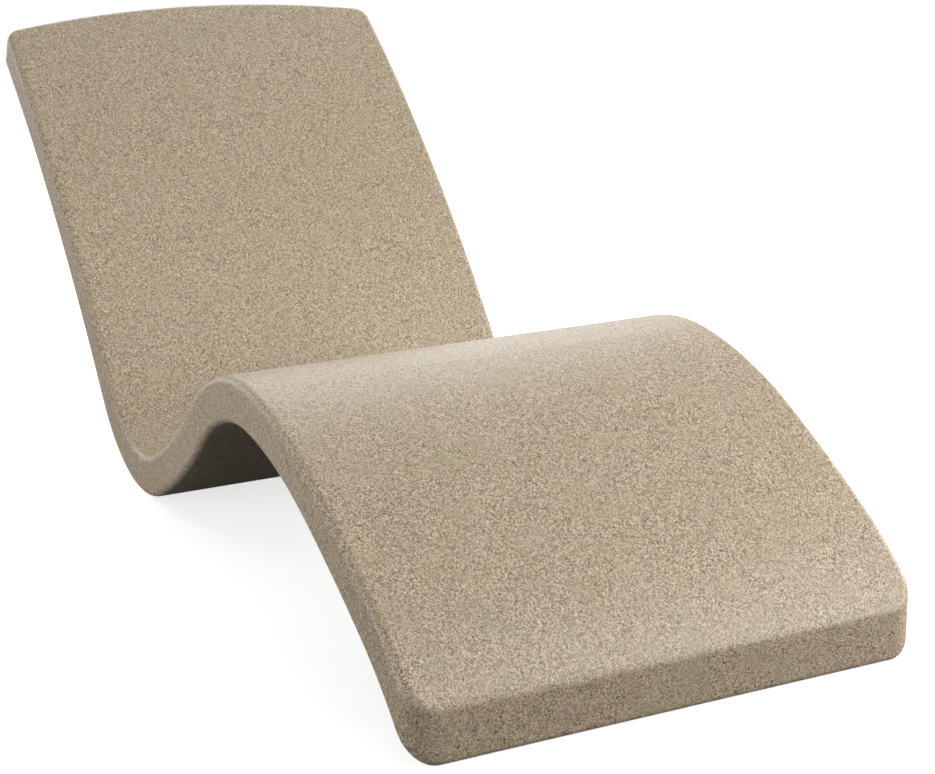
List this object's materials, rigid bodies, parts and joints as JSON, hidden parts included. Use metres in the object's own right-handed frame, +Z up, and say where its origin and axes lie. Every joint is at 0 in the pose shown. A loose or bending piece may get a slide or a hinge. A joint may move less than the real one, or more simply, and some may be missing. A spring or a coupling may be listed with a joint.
{
  "type": "sun lounger",
  "caption": "Hollow one-piece S-shaped sun lounger for a shallow pool shelf, with rounded edges, raised knees and screw-plugged water ballast ports underneath.",
  "frame": {"origin": "on the ground, below the middle of the bounding box", "axes": "+X from the head to the toe, +Y across the width, +Z up"},
  "size_m": [1.8418, 0.7, 0.6702],
  "materials": {
    "speckled_shell": "sandstone speckle, moulded, soft sheen",
    "plug": "moulded, satin",
    "insert": "turned",
    "seal": "matt"
  },
  "bodies": {
    "lounger": {"shell": "speckled_shell", "fill_insert": "insert", "drain_insert": "insert"},
    "fill_seal": {"fill_seal": "seal"},
    "fill_plug": {"fill_plug": "plug"},
    "drain_seal": {"drain_seal": "seal"},
    "drain_plug": {"drain_plug": "plug"}
  },
  "joints": [
    {"name": "fill_draw", "type": "slide", "parent": "lounger", "child": "fill_seal", "axis": [-0.6028, 0, -0.7979], "range_m": [0, 0.018]},
    {"name": "fill_turn", "type": "hinge", "parent": "fill_seal", "child": "fill_plug", "pos_m": [-0.80218, 0, 0.53478], "axis": [-0.6028, 0, -0.7979], "range_deg": [0, 1620]},
    {"name": "drain_draw", "type": "slide", "parent": "lounger", "child": "drain_seal", "axis": [-0.5322, 0, -0.8466], "range_m": [0, 0.018]},
    {"name": "drain_turn", "type": "hinge", "parent": "drain_seal", "child": "drain_plug", "pos_m": [0.79377, 0, 0.09588], "axis": [-0.5322, 0, -0.8466], "range_deg": [0, 1620]}
  ],
  "couplings": [
    {"joint": "fill_turn", "follows": "fill_draw", "rad_per_m": 1570.8},
    {"joint": "drain_turn", "follows": "drain_draw", "rad_per_m": 1570.8}
  ]
}
